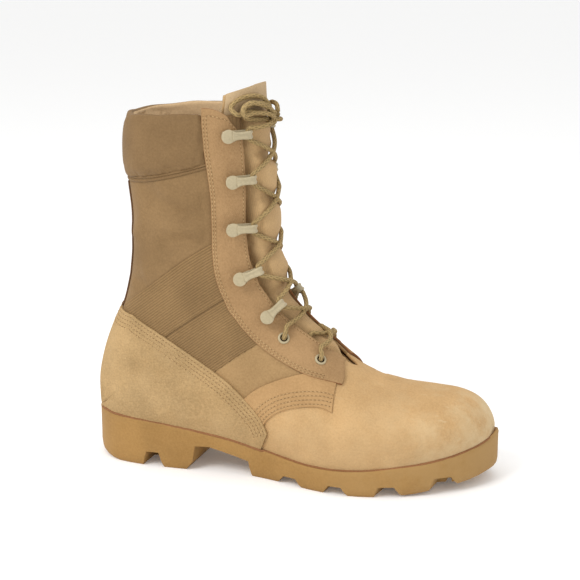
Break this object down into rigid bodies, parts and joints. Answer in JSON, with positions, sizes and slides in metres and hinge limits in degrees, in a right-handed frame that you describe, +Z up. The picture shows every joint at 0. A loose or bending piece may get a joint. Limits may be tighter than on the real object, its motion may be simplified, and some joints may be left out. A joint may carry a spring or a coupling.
{
  "type": "combat boot",
  "caption": "Right combat boot: tan suede and nylon upper with laced hooks, padded collar and a lugged rubber sole; stands empty on its sole.",
  "frame": {"origin": "on the floor, under the middle of the boot's bounding box, measured without the lace's knot and loops", "axes": "+X from heel to toe, +Z up, +Y towards the medial side; the lateral side faces -Y"},
  "size_m": [0.308, 0.1098, 0.2887],
  "materials": {
    "rubber": "matte moulded rubber, ochre tan, slightly darker than the suede",
    "insole_board": null,
    "upper_suede": "tan suede vamp with fine nap and light scuffing at the toe; the shaft is plain woven nylon",
    "tongue_nylon": "soft woven nylon over thin padding, brown tan",
    "collar_nylon": "smooth woven nylon over padding, brown tan",
    "overlay_suede": "tan suede with rows of stitching",
    "painted_hardware": "pale khaki paint on pressed metal, satin",
    "lace_cord": "braided round cord, olive tan"
  },
  "bodies": {
    "root": {"collar": "collar_nylon", "eyelet_lateral_1": "painted_hardware", "eyelet_lateral_2": "painted_hardware", "eyelet_medial_1": "painted_hardware", "eyelet_medial_2": "painted_hardware", "eyestay_lateral": "overlay_suede", "eyestay_medial": "overlay_suede", "heel_counter": "overlay_suede", "hook_lateral_1": "painted_hardware", "hook_lateral_2": "painted_hardware", "hook_lateral_3": "painted_hardware", "hook_lateral_4": "painted_hardware", "hook_lateral_5": "painted_hardware", "hook_medial_1": "painted_hardware", "hook_medial_2": "painted_hardware", "hook_medial_3": "painted_hardware", "hook_medial_4": "painted_hardware", "hook_medial_5": "painted_hardware", "insole": "insole_board", "lace_crossing_1": "lace_cord", "lace_crossing_2": "lace_cord", "lace_crossing_3": "lace_cord", "lace_crossing_4": "lace_cord", "lace_crossing_5": "lace_cord", "lace_knot": "lace_cord", "lace_loop_lateral": "lace_cord", "lace_loop_medial": "lace_cord", "outsole": "rubber", "tongue": "tongue_nylon", "upper": "upper_suede"}
  },
  "joints": []
}
